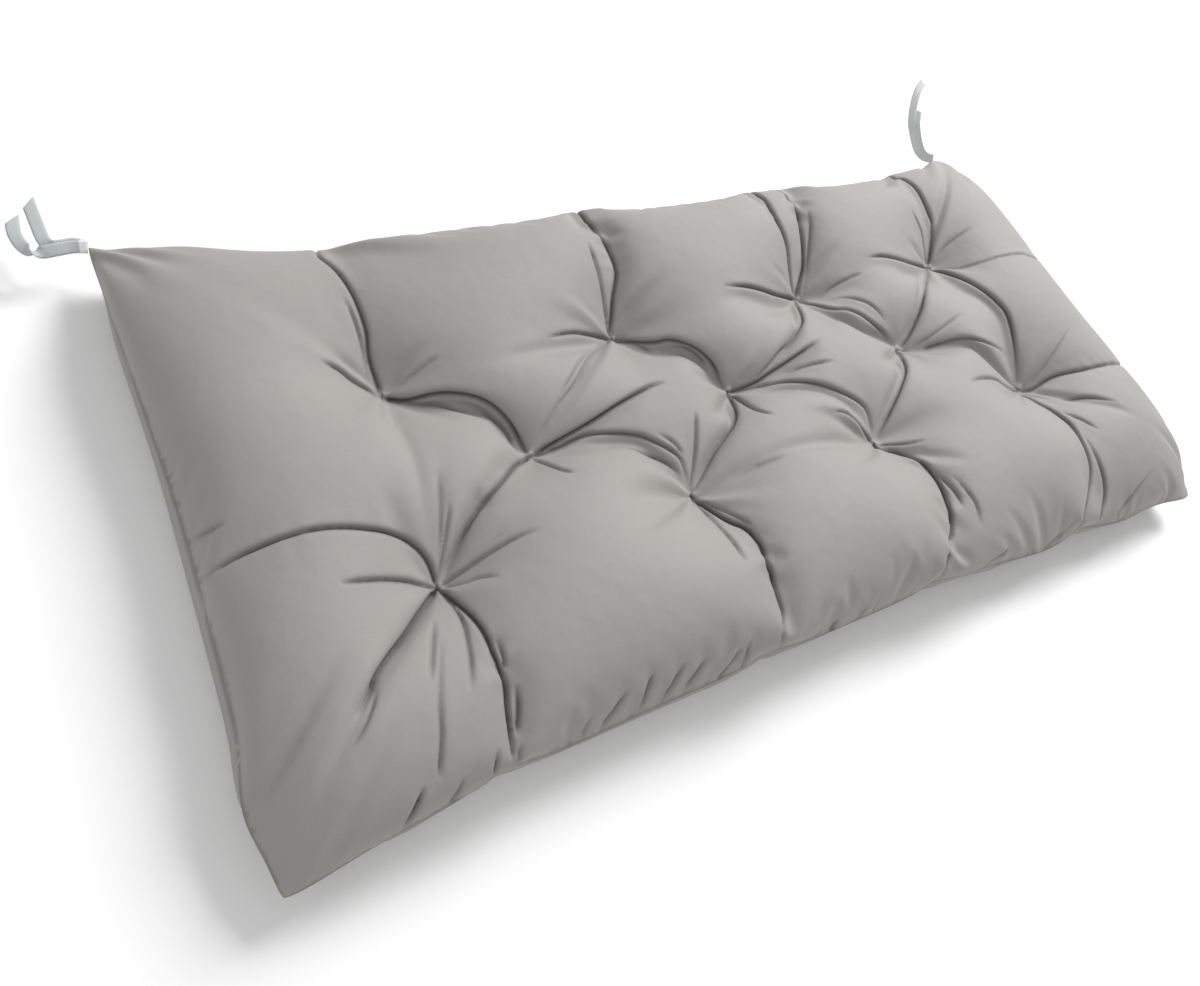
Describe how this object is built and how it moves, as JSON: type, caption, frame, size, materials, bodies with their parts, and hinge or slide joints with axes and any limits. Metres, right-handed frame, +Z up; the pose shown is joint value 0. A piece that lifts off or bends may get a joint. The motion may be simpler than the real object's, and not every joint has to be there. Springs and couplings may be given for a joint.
{
  "type": "bench cushion",
  "caption": "Soft grey bench cushion with knife edges, stitched tufts on both faces and a folded tape tie at each back corner.",
  "frame": {"origin": "on the surface the cushion lies on, under the middle of the whole part's box", "axes": "+X along the bench, +Y toward the side with the ties, +Z up out of the cushion's face"},
  "size_m": [1.0582, 0.6186, 0.0896],
  "materials": {
    "cover": "smooth woven polyester with a soft sheen",
    "tape": "pale grey woven tape, matt"
  },
  "bodies": {
    "root": {"cushion": "cover", "tie_left": "tape", "tie_right": "tape"}
  },
  "joints": []
}
